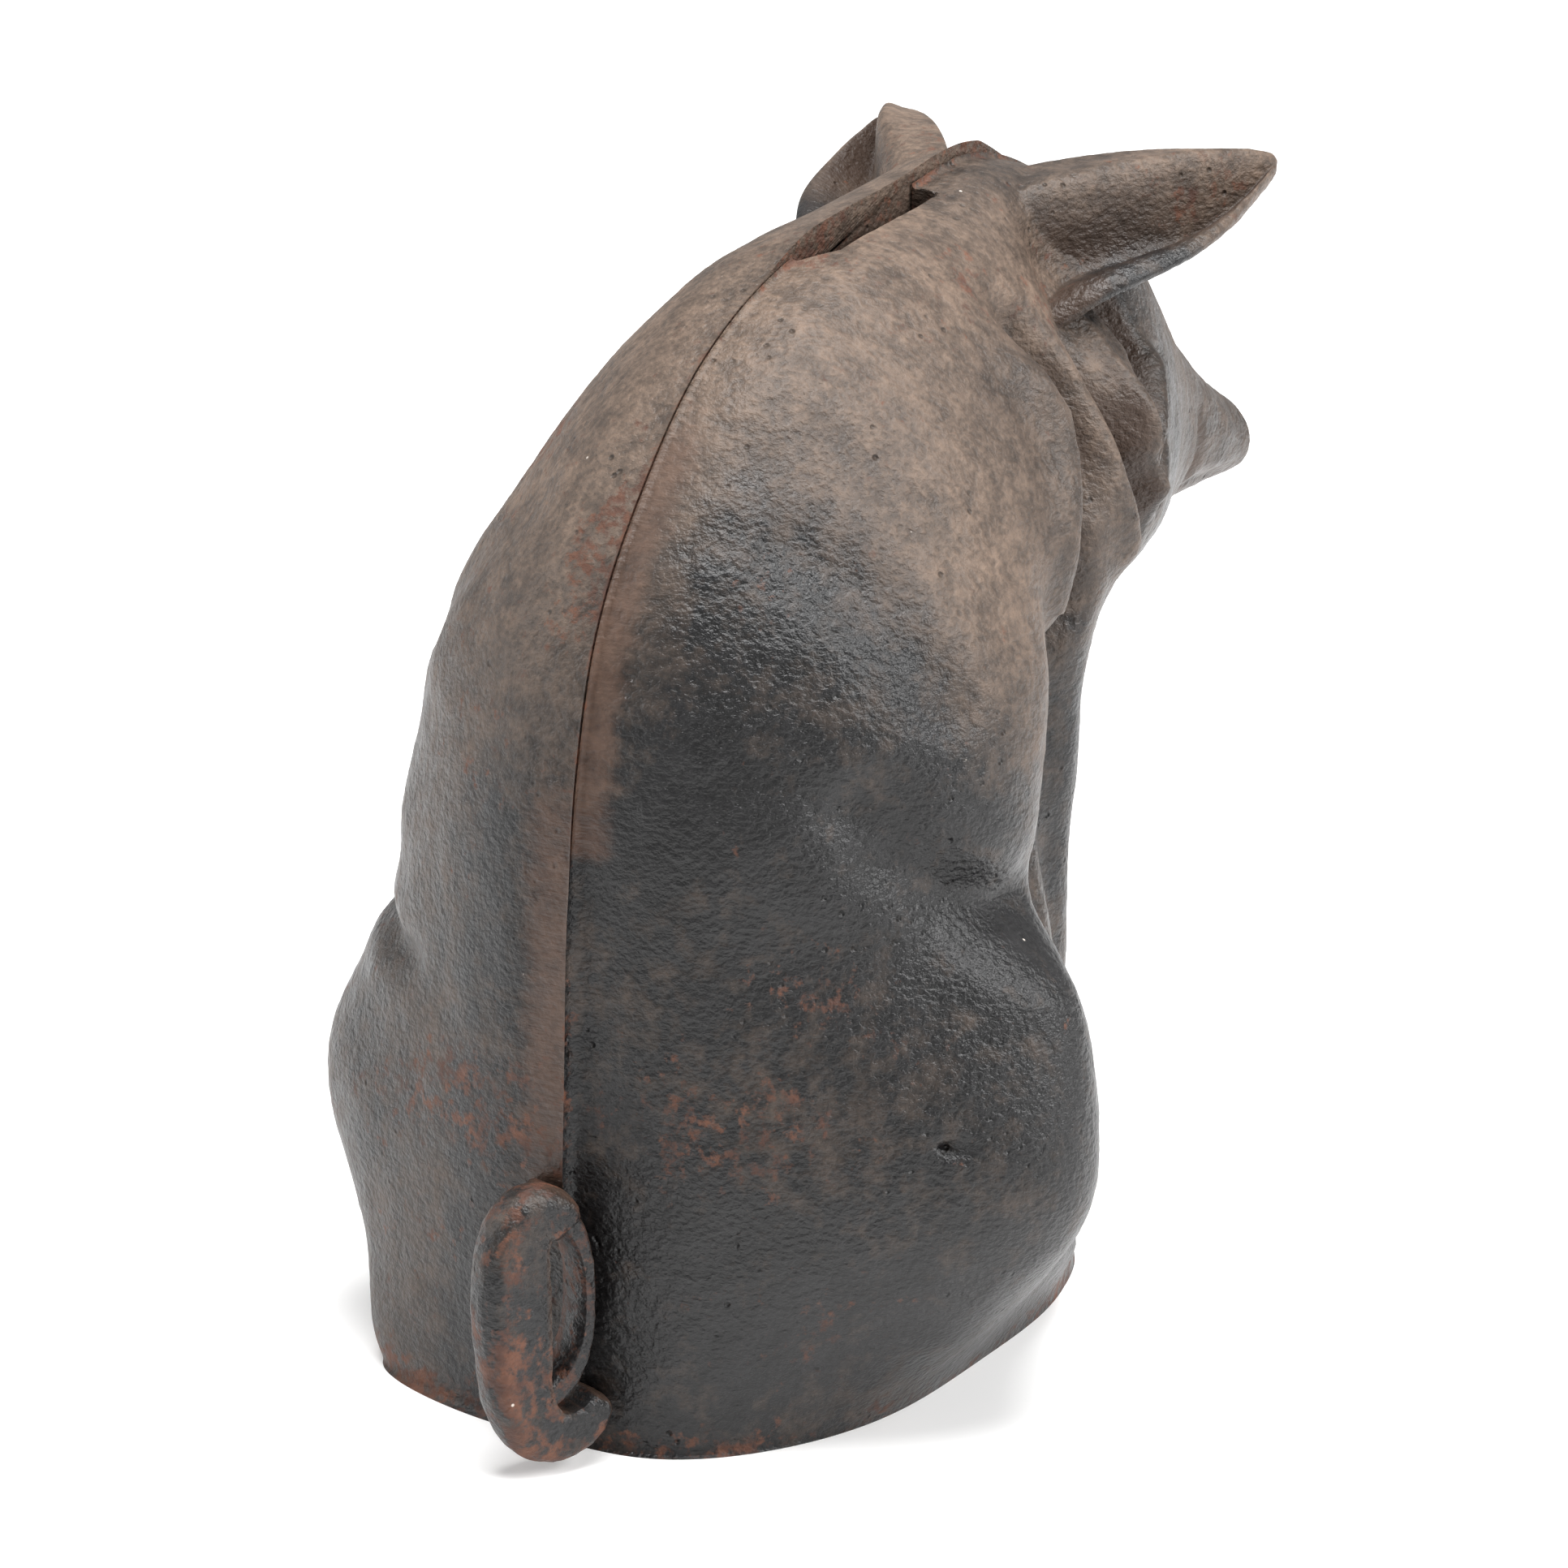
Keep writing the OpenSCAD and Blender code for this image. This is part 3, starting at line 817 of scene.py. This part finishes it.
# Where each finish lies: brown patina, bare ground metal and rust, with one spot of painted light. Spots are
# y, z, size in y and z, amount.
rightSpots = dict(
    # the patina spot at y -70, z 108 is painted light: the right flank is lightened where the lamp and
    # reflections fall
    patinaAndPaintedLight=[(-33, 18, 40, 14, 0.12), (-24, 136, 13, 20, -0.3), (-70, 108, 24, 30, 0.6),
            (-52, 140, 22, 30, 0.4), (-105, 140, 20, 30, 0.3)],
    rusty=[(-12, 80, 9, 12, 0.5), (-9, 29, 14, 10, 0.35), (-3, 57, 9, 9, 0.4), (-22, 54, 5, 5, 0.5)],
)
leftSpots = dict(rusty=[(-10, 150, 14, 16, 0.5), (-6, 55, 12, 12, 0.4)])


def spots(y, z, places):
    return sum(amount * blob(y, z, *place) for *place, amount in places)


def rightFinish(x, y, z, back, earSpot):
    patinaAndPaintedLight = -0.12 + 0.58 * smoothStep(z, 96, 176) + 0.3 * earSpot + 0.3 * smoothStep(-y, 145, 175)
    patinaAndPaintedLight += 0.34 * np.exp(-(x / 12) ** 2) * smoothStep(z, 96, 112) * back
    patinaAndPaintedLight += spots(y, z, rightSpots["patinaAndPaintedLight"])
    ground = smoothStep(10.5 - x, 0, 8) * smoothStep(z, 97, 101) * smoothStep(170 - z, 0, 14) * back
    rusty = 0.8 * smoothStep(9 - z, 0, 8) + 0.35 * smoothStep(z, 150, 175)
    return patinaAndPaintedLight, ground, rusty + spots(y, z, rightSpots["rusty"])


def leftFinish(x, y, z, back, earSpot):
    tailSpot = smoothStep(y, 3.5, 6)
    patinaAndPaintedLight = 0.24 + 0.52 * smoothStep(z, 95, 160) + 0.1 * earSpot - 0.15 * tailSpot
    patinaAndPaintedLight -= 0.5 * np.exp(-((x - 16) / 8) ** 2) * smoothStep(118 - z, 0, 30) * back
    ground = smoothStep(14 - x, 0, 9) * smoothStep(z, 38, 48) * smoothStep(122 - z, 0, 26) * back
    rusty = 0.25 + 0.3 * tailSpot + 0.9 * smoothStep(8 - z, 0, 8)
    return patinaAndPaintedLight, ground * (1 - tailSpot), rusty + spots(y, z, leftSpots["rusty"])


def paintMasks(piece, side):
    co = drawnCoordinates(piece)
    x, y, z = np.abs(co[:, 0]), co[:, 1], co[:, 2]
    back = y > -60 - 0.2 * z
    earSpot = smoothStep(z, 160, 178) * smoothStep(x, 12, 26)
    # painted shade: the hollow behind each ear is darkened by taking it off the patina mask
    pocketShade = smoothStep(x, 17, 25) * blob(y, z, -122, 171, 15, 9) * smoothStep(-y, 104, 112)
    finish = rightFinish if side < 0 else leftFinish
    patinaAndPaintedLight, ground, rusty = finish(x, y, z, back, earSpot)
    seam = np.exp(-(x / 1.1) ** 2)
    # this mask holds the brown patina together with painted shade in the ear's pocket and painted light on
    # the right flank
    storeMask(piece, "patinaAndPaintedLight", patinaAndPaintedLight - 0.9 * pocketShade)
    storeMask(piece, "ground", ground)
    storeMask(piece, "rusty", rusty + 0.55 * seam)
    storeMask(piece, "inside", insideMask(piece))


# The body's middle line as heights and their y, and how the cavity's walls are told from the outside
cavityMiddle = dict(heights=[0, 42, 92, 133, 170, 186], y=[-60, -58, -60, -66, -80, -100])
insideForm = dict(middleZ=60, rise=0.6, flatten=0.3, leastX=4, low=-0.15, high=0.35)


def insideMask(piece):
    # 1 on the cavity's walls, whose normals face the middle of the body
    form = insideForm
    co = drawnCoordinates(piece)
    mesh = piece.data
    normals = np.zeros(len(mesh.vertices) * 3)
    mesh.vertex_normals.foreach_get("vector", normals)
    normals = normals.reshape(-1, 3)
    toX = -np.sign(co[:, 0]) * np.maximum(np.abs(co[:, 0]), form["leastX"])
    toY = np.interp(co[:, 2], cavityMiddle["heights"], cavityMiddle["y"]) - co[:, 1]
    toZ = (form["middleZ"] - form["rise"] * co[:, 2]) * form["flatten"]
    toMiddle = np.stack([toX, toY, toZ], -1)
    facing = (normals * toMiddle).sum(1) / np.linalg.norm(toMiddle, axis=1)
    return smoothStep(facing, form["low"], form["high"])


paintMasks(leftCasting, 1)
paintMasks(rightCasting, -1)
print("masks stored")


def newGroup(name, inputs, outputs):
    group = bpy.data.node_groups.new(name, "ShaderNodeTree")
    for kind, label, value in inputs:
        socket = group.interface.new_socket(name=label, in_out="INPUT", socket_type="NodeSocket" + kind)
        if value is not None:
            socket.default_value = value
    for kind, label in outputs:
        group.interface.new_socket(name=label, in_out="OUTPUT", socket_type="NodeSocket" + kind)
    start = group.nodes.new("NodeGroupInput")
    end = group.nodes.new("NodeGroupOutput")
    return group, start, end


class Graph:
    # short calls for adding nodes to a tree
    def __init__(self, tree):
        self.nodes = tree.nodes
        self.links = tree.links

    def feed(self, socket, value):
        if isinstance(value, bpy.types.NodeSocket):
            self.links.new(value, socket)
        else:
            socket.default_value = value

    def noise(self, vector, scale, detail=3.0, rough=0.55, distortion=0.0):
        node = self.nodes.new("ShaderNodeTexNoise")
        for label, value in (("Vector", vector), ("Scale", scale), ("Detail", detail), ("Roughness", rough),
                             ("Distortion", distortion)):
            self.feed(node.inputs[label], value)
        return node.outputs["Fac"]

    def math(self, operation, a, b=0.5, clamp=False):
        node = self.nodes.new("ShaderNodeMath")
        node.operation = operation
        node.use_clamp = clamp
        self.feed(node.inputs[0], a)
        self.feed(node.inputs[1], b)
        return node.outputs[0]

    def remap(self, value, low, high, outLow=0.0, outHigh=1.0):
        node = self.nodes.new("ShaderNodeMapRange")
        node.interpolation_type = "SMOOTHSTEP"
        for k, v in enumerate((value, low, high, outLow, outHigh)):
            self.feed(node.inputs[k], v)
        return node.outputs[0]

    def mix(self, factor, a, b, blend="MIX"):
        node = self.nodes.new("ShaderNodeMix")
        node.data_type = "RGBA"
        node.blend_type = blend
        self.feed(node.inputs["Factor"], factor)
        colours = [k for k in node.inputs if k.type == "RGBA"]
        self.feed(colours[0], a)
        self.feed(colours[1], b)
        return [k for k in node.outputs if k.type == "RGBA"][0]

    def stretch(self, vector, scale):
        node = self.nodes.new("ShaderNodeMapping")
        self.feed(node.inputs["Vector"], vector)
        node.inputs["Scale"].default_value = scale
        return node.outputs[0]

    def group(self, tree, **values):
        node = self.nodes.new("ShaderNodeGroup")
        node.node_tree = tree
        for label, value in values.items():
            self.feed(node.inputs[label], value)
        return node.outputs

    def attribute(self, name):
        node = self.nodes.new("ShaderNodeAttribute")
        node.attribute_name = name
        return node.outputs["Fac"]


def castGrainGroup():
    # pebbled skin left by the sand mould, with a few deeper pits
    group, start, end = newGroup(
        "castGrain",
        [("Vector", "Vector", None), ("Float", "Size", 620.0), ("Float", "Pits", 0.5)],
        [("Float", "Height"), ("Float", "Hollow")],
    )
    g = Graph(group)
    wrinkled = g.stretch(start.outputs["Vector"], (1, 1, 1.3))
    fine = g.noise(wrinkled, start.outputs["Size"], 3.0, 0.55, 0.12)
    coarse = g.noise(start.outputs["Vector"], 190.0, 2.0, 0.5)
    cells = g.nodes.new("ShaderNodeTexVoronoi")
    g.feed(cells.inputs["Vector"], start.outputs["Vector"])
    g.feed(cells.inputs["Scale"], 330.0)
    pit = g.remap(cells.outputs["Distance"], 0.0, 0.22, 1.0, 0.0)
    rare = g.remap(g.noise(start.outputs["Vector"], 75.0, 1.0), 0.55, 0.68)
    hollow = g.math("MULTIPLY", g.math("MULTIPLY", pit, rare), start.outputs["Pits"])
    height = g.math("ADD", g.math("MULTIPLY", fine, 0.7), g.math("MULTIPLY", coarse, 0.6))
    g.feed(end.inputs["Height"], g.math("SUBTRACT", height, hollow))
    g.feed(end.inputs["Hollow"], hollow)
    return group


def rustBloomGroup():
    # rust that gathers in soft patches and fine speckles
    group, start, end = newGroup(
        "rustBloom",
        [("Vector", "Vector", None), ("Float", "Amount", 0.3)],
        [("Float", "Mask"), ("Color", "Colour")],
    )
    g = Graph(group)
    at = start.outputs["Vector"]
    patch = g.noise(at, 42.0, 5.0, 0.65, 0.6)
    speckle = g.noise(at, 420.0, 3.0, 0.7)
    both = g.math("ADD", g.math("MULTIPLY", patch, 0.45), g.math("MULTIPLY", speckle, 0.55))
    level = g.math("SUBTRACT", 0.70, g.math("MULTIPLY", start.outputs["Amount"], 0.27))
    mask = g.remap(g.math("SUBTRACT", both, level), -0.01, 0.10)
    tone = g.remap(g.noise(at, 160.0, 4.0, 0.6), 0.35, 0.7)
    g.feed(end.inputs["Mask"], mask)
    g.feed(end.inputs["Colour"], g.mix(tone, (0.055, 0.022, 0.014, 1), (0.135, 0.052, 0.027, 1)))
    return group


def groundLinesGroup():
    # fine file marks across the bands that were dressed beside the seam
    group, start, end = newGroup("groundLines", [("Vector", "Vector", None)], [("Float", "Height")])
    g = Graph(group)
    lines = g.noise(g.stretch(start.outputs["Vector"], (40, 260, 900)), 1.0, 3.0, 0.6)
    g.feed(end.inputs["Height"], lines)
    return group


def dustGroup():
    # tiny pale specks of dust and dried wax
    group, start, end = newGroup(
        "dustSpecks", [("Vector", "Vector", None), ("Float", "Scale", 210.0)], [("Float", "Mask")]
    )
    g = Graph(group)
    cells = g.nodes.new("ShaderNodeTexVoronoi")
    g.feed(cells.inputs["Vector"], start.outputs["Vector"])
    g.feed(cells.inputs["Scale"], start.outputs["Scale"])
    dot = g.remap(cells.outputs["Distance"], 0.03, 0.075, 1.0, 0.0)
    split = g.nodes.new("ShaderNodeSeparateColor")
    g.feed(split.inputs[0], cells.outputs["Color"])
    chosen = g.math("GREATER_THAN", split.outputs[0], 0.93)
    g.feed(end.inputs["Mask"], g.math("MULTIPLY", dot, chosen))
    return group


castGrain = castGrainGroup()
rustBloom = rustBloomGroup()
groundLines = groundLinesGroup()
dustSpecks = dustGroup()
print("shader groups built")


ironFinish = dict(
    dark=(0.009, 0.0087, 0.0092, 1), brown=(0.138, 0.096, 0.070, 1), bare=(0.092, 0.045, 0.027, 1),
    cavity=(0.045, 0.028, 0.02, 1), dust=(0.62, 0.56, 0.5, 1),
    grainDepth=0.00075, lineDepth=0.00020, grainSize=800.0, pits=0.8, specular=0.36,
    cloudSize=26.0, cloudShare=0.95, mottleSize=240.0, mottleShare=1.1, streak=(60, 120, 520),
    rustShare=0.65, rustBase=0.30, wornPatches=0.8, wornShare=0.5, shadeLow=0.5, shadeHigh=1.15,
    rustCover=0.85, dustCover=0.8, dustSize=210.0, smoothest=0.37, roughest=0.52,
    rustRoughness=0.22, mottleRoughness=0.25, groundSmooths=0.6,
)


def castIron(name, seed, values):
    material = bpy.data.materials.new(name)
    material.use_nodes = True
    tree = material.node_tree
    g = Graph(tree)
    shader = tree.nodes["Principled BSDF"]
    place = tree.nodes.new("ShaderNodeTexCoord").outputs["Object"]
    shifted = tree.nodes.new("ShaderNodeMapping")
    g.feed(shifted.inputs["Vector"], place)
    shifted.inputs["Location"].default_value = (seed, seed * 0.7, 0)
    at = shifted.outputs[0]
    # the patina attribute also carries painted shade behind the ears and painted light on the right flank
    patinaAndPaintedLight, ground = g.attribute("patinaAndPaintedLight"), g.attribute("ground")
    rusty, inside = g.attribute("rusty"), g.attribute("inside")
    grain = g.group(castGrain, Vector=at, Size=values["grainSize"], Pits=values["pits"])
    rustAmount = g.math("ADD", g.math("MULTIPLY", rusty, values["rustShare"]), values["rustBase"])
    rust = g.group(rustBloom, Vector=at, Amount=rustAmount)
    lines = g.group(groundLines, Vector=place)
    dust = g.group(dustSpecks, Vector=at, Scale=values["dustSize"])
    cloud = g.math("SUBTRACT", g.noise(at, values["cloudSize"], 5.0, 0.62, 0.3), 0.5)
    mottle = g.math("SUBTRACT", g.noise(at, values["mottleSize"], 4.0, 0.65), 0.5)
    wander = g.math("ADD", g.math("MULTIPLY", cloud, values["cloudShare"]),
                    g.math("MULTIPLY", mottle, values["mottleShare"]))
    brownness = g.math("ADD", patinaAndPaintedLight, wander, clamp=True)
    iron = g.mix(brownness, values["dark"], values["brown"])
    streak = g.noise(g.stretch(place, values["streak"]), 1.0, 3.0, 0.6)
    patchy = g.math("ADD", mottle, g.math("SUBTRACT", streak, 0.5))
    worn = g.remap(g.math("ADD", ground, g.math("MULTIPLY", patchy, values["wornPatches"])), 0.2, 1.1)
    wornShare = g.math("MULTIPLY", worn, values["wornShare"])
    iron = g.mix(wornShare, iron, values["bare"])
    # painted shade and light: the colour is darkened in the grain's hollows and lightened on its tops, less
    # so on the ground bands
    shade = g.remap(grain["Height"], 0.45, 0.85, values["shadeLow"], values["shadeHigh"])
    shade = g.mix(wornShare, shade, (1, 1, 1, 1))
    iron = g.mix(1.0, iron, shade, "MULTIPLY")
    iron = g.mix(inside, iron, values["cavity"])
    iron = g.mix(g.math("MULTIPLY", rust["Mask"], values["rustCover"]), iron, rust["Colour"])
    iron = g.mix(g.math("MULTIPLY", dust["Mask"], values["dustCover"]), iron, values["dust"])
    g.feed(shader.inputs["Base Color"], iron)
    gloss = g.remap(brownness, 0.0, 0.8, values["smoothest"], values["roughest"])
    gloss = g.math("ADD", gloss, g.math("MULTIPLY", rust["Mask"], values["rustRoughness"]))
    gloss = g.math("ADD", gloss, g.math("MULTIPLY", mottle, values["mottleRoughness"]), clamp=True)
    g.feed(shader.inputs["Roughness"], gloss)
    shader.inputs["Specular IOR Level"].default_value = values["specular"]
    rough = tree.nodes.new("ShaderNodeBump")
    rough.inputs["Strength"].default_value = 1.0
    rough.inputs["Distance"].default_value = values["grainDepth"]
    kept = g.math("SUBTRACT", 1.0, g.math("MULTIPLY", ground, values["groundSmooths"]))
    g.feed(rough.inputs["Height"], g.math("MULTIPLY", grain["Height"], kept))
    filed = tree.nodes.new("ShaderNodeBump")
    filed.inputs["Distance"].default_value = values["lineDepth"]
    g.feed(filed.inputs["Height"], g.math("MULTIPLY", lines["Height"], ground))
    g.feed(filed.inputs["Normal"], rough.outputs[0])
    g.feed(shader.inputs["Normal"], filed.outputs[0])
    return material


screwFinish = dict(
    dark=(0.06, 0.05, 0.045, 1), worn=(0.30, 0.27, 0.24, 1), grainDepth=0.00006, grainSize=1500.0, pits=0.4,
    rust=0.42, rustCover=0.8, wearSize=300.0, metallic=0.85, roughness=0.36, rustRoughness=0.35,
)


def screwSteel(name, values):
    material = bpy.data.materials.new(name)
    material.use_nodes = True
    tree = material.node_tree
    g = Graph(tree)
    shader = tree.nodes["Principled BSDF"]
    at = tree.nodes.new("ShaderNodeTexCoord").outputs["Object"]
    grain = g.group(castGrain, Vector=at, Size=values["grainSize"], Pits=values["pits"])
    rust = g.group(rustBloom, Vector=at, Amount=values["rust"])
    wear = g.remap(g.noise(at, values["wearSize"], 4.0, 0.6), 0.4, 0.6)
    steel = g.mix(wear, values["dark"], values["worn"])
    cover = g.math("MULTIPLY", rust["Mask"], values["rustCover"])
    g.feed(shader.inputs["Base Color"], g.mix(cover, steel, rust["Colour"]))
    g.feed(shader.inputs["Metallic"], g.math("SUBTRACT", values["metallic"], cover))
    rusted = g.math("MULTIPLY", rust["Mask"], values["rustRoughness"])
    g.feed(shader.inputs["Roughness"], g.math("ADD", values["roughness"], rusted))
    bump = tree.nodes.new("ShaderNodeBump")
    bump.inputs["Distance"].default_value = values["grainDepth"]
    g.feed(bump.inputs["Height"], grain["Height"])
    g.feed(shader.inputs["Normal"], bump.outputs[0])
    return material


def dress(piece, material):
    piece.data.materials.clear()
    piece.data.materials.append(material)


dress(leftCasting, castIron("leftCastIron", 0.0, ironFinish))
dress(rightCasting, castIron("rightCastIron", 0.35, ironFinish))
dress(bodyScrew, screwSteel("screwSteel", screwFinish))
print("materials built")

# White paper under the pig, metres from the middle to each edge
paperReach = 6
paperCorners = [(paperReach * x, paperReach * y, 0) for x, y in ((-1, -1), (1, -1), (1, 1), (-1, 1))]
floor = meshInFrame("floor", paperCorners, [(0, 1, 2, 3)])
paper = bpy.data.materials.new("floorPaper")
paper.use_nodes = True
paperInputs = paper.node_tree.nodes["Principled BSDF"].inputs
paperInputs["Base Color"].default_value = (0.9, 0.895, 0.89, 1)
paperInputs["Roughness"].default_value = 0.45
paperInputs["Emission Color"].default_value = (1, 1, 1, 1)
paperInputs["Emission Strength"].default_value = 0.2
floor.data.materials.append(paper)

# White surroundings for the camera, dimmer in reflections and dimmest as light on the pig
world = bpy.data.worlds.new("studio")
world.use_nodes = True
background = world.node_tree.nodes["Background"]
background.inputs["Color"].default_value = (1, 1, 1, 1)
rays = world.node_tree.nodes.new("ShaderNodeLightPath").outputs
worldGraph = Graph(world.node_tree)
glossy = worldGraph.math("MULTIPLY", rays["Is Glossy Ray"], 0.35)
seen = worldGraph.math("MAXIMUM", rays["Is Camera Ray"], glossy)
brightness = worldGraph.remap(seen, 0.0, 1.0, 0.3, 1.0)
world.node_tree.links.new(brightness, background.inputs["Strength"])
bpy.context.scene.world = world

studioLights = [
    dict(name="top", at=(-0.15, 0.1, 1.5), aim=(0, -0.02, 0.1), size=1.1, power=38),
    dict(name="left", at=(1.3, 0.7, 0.8), aim=(0, 0, 0.1), size=0.9, power=10),
    dict(name="right", at=(-1.5, -0.3, 1.1), aim=(0, 0, 0.12), size=1.0, power=33),
]
for values in studioLights:
    lamp = bpy.data.lights.new(values["name"], "AREA")
    lamp.shape = "DISK"
    lamp.size = values["size"]
    lamp.energy = values["power"]
    lampObject = bpy.data.objects.new(values["name"], lamp)
    lampObject.location = values["at"]
    way = Vector(values["aim"]) - Vector(values["at"])
    lampObject.rotation_euler = way.to_track_quat("-Z", "Y").to_euler()
    bpy.context.scene.collection.objects.link(lampObject)
bpy.context.scene.view_settings.view_transform = "Standard"

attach(leftCasting, "left")
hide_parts("left_half")
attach(rightCasting, "right")
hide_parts("right_half")
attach(bodyScrew, "screw")
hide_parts("body_screw")

print("pieces ride on their bodies")
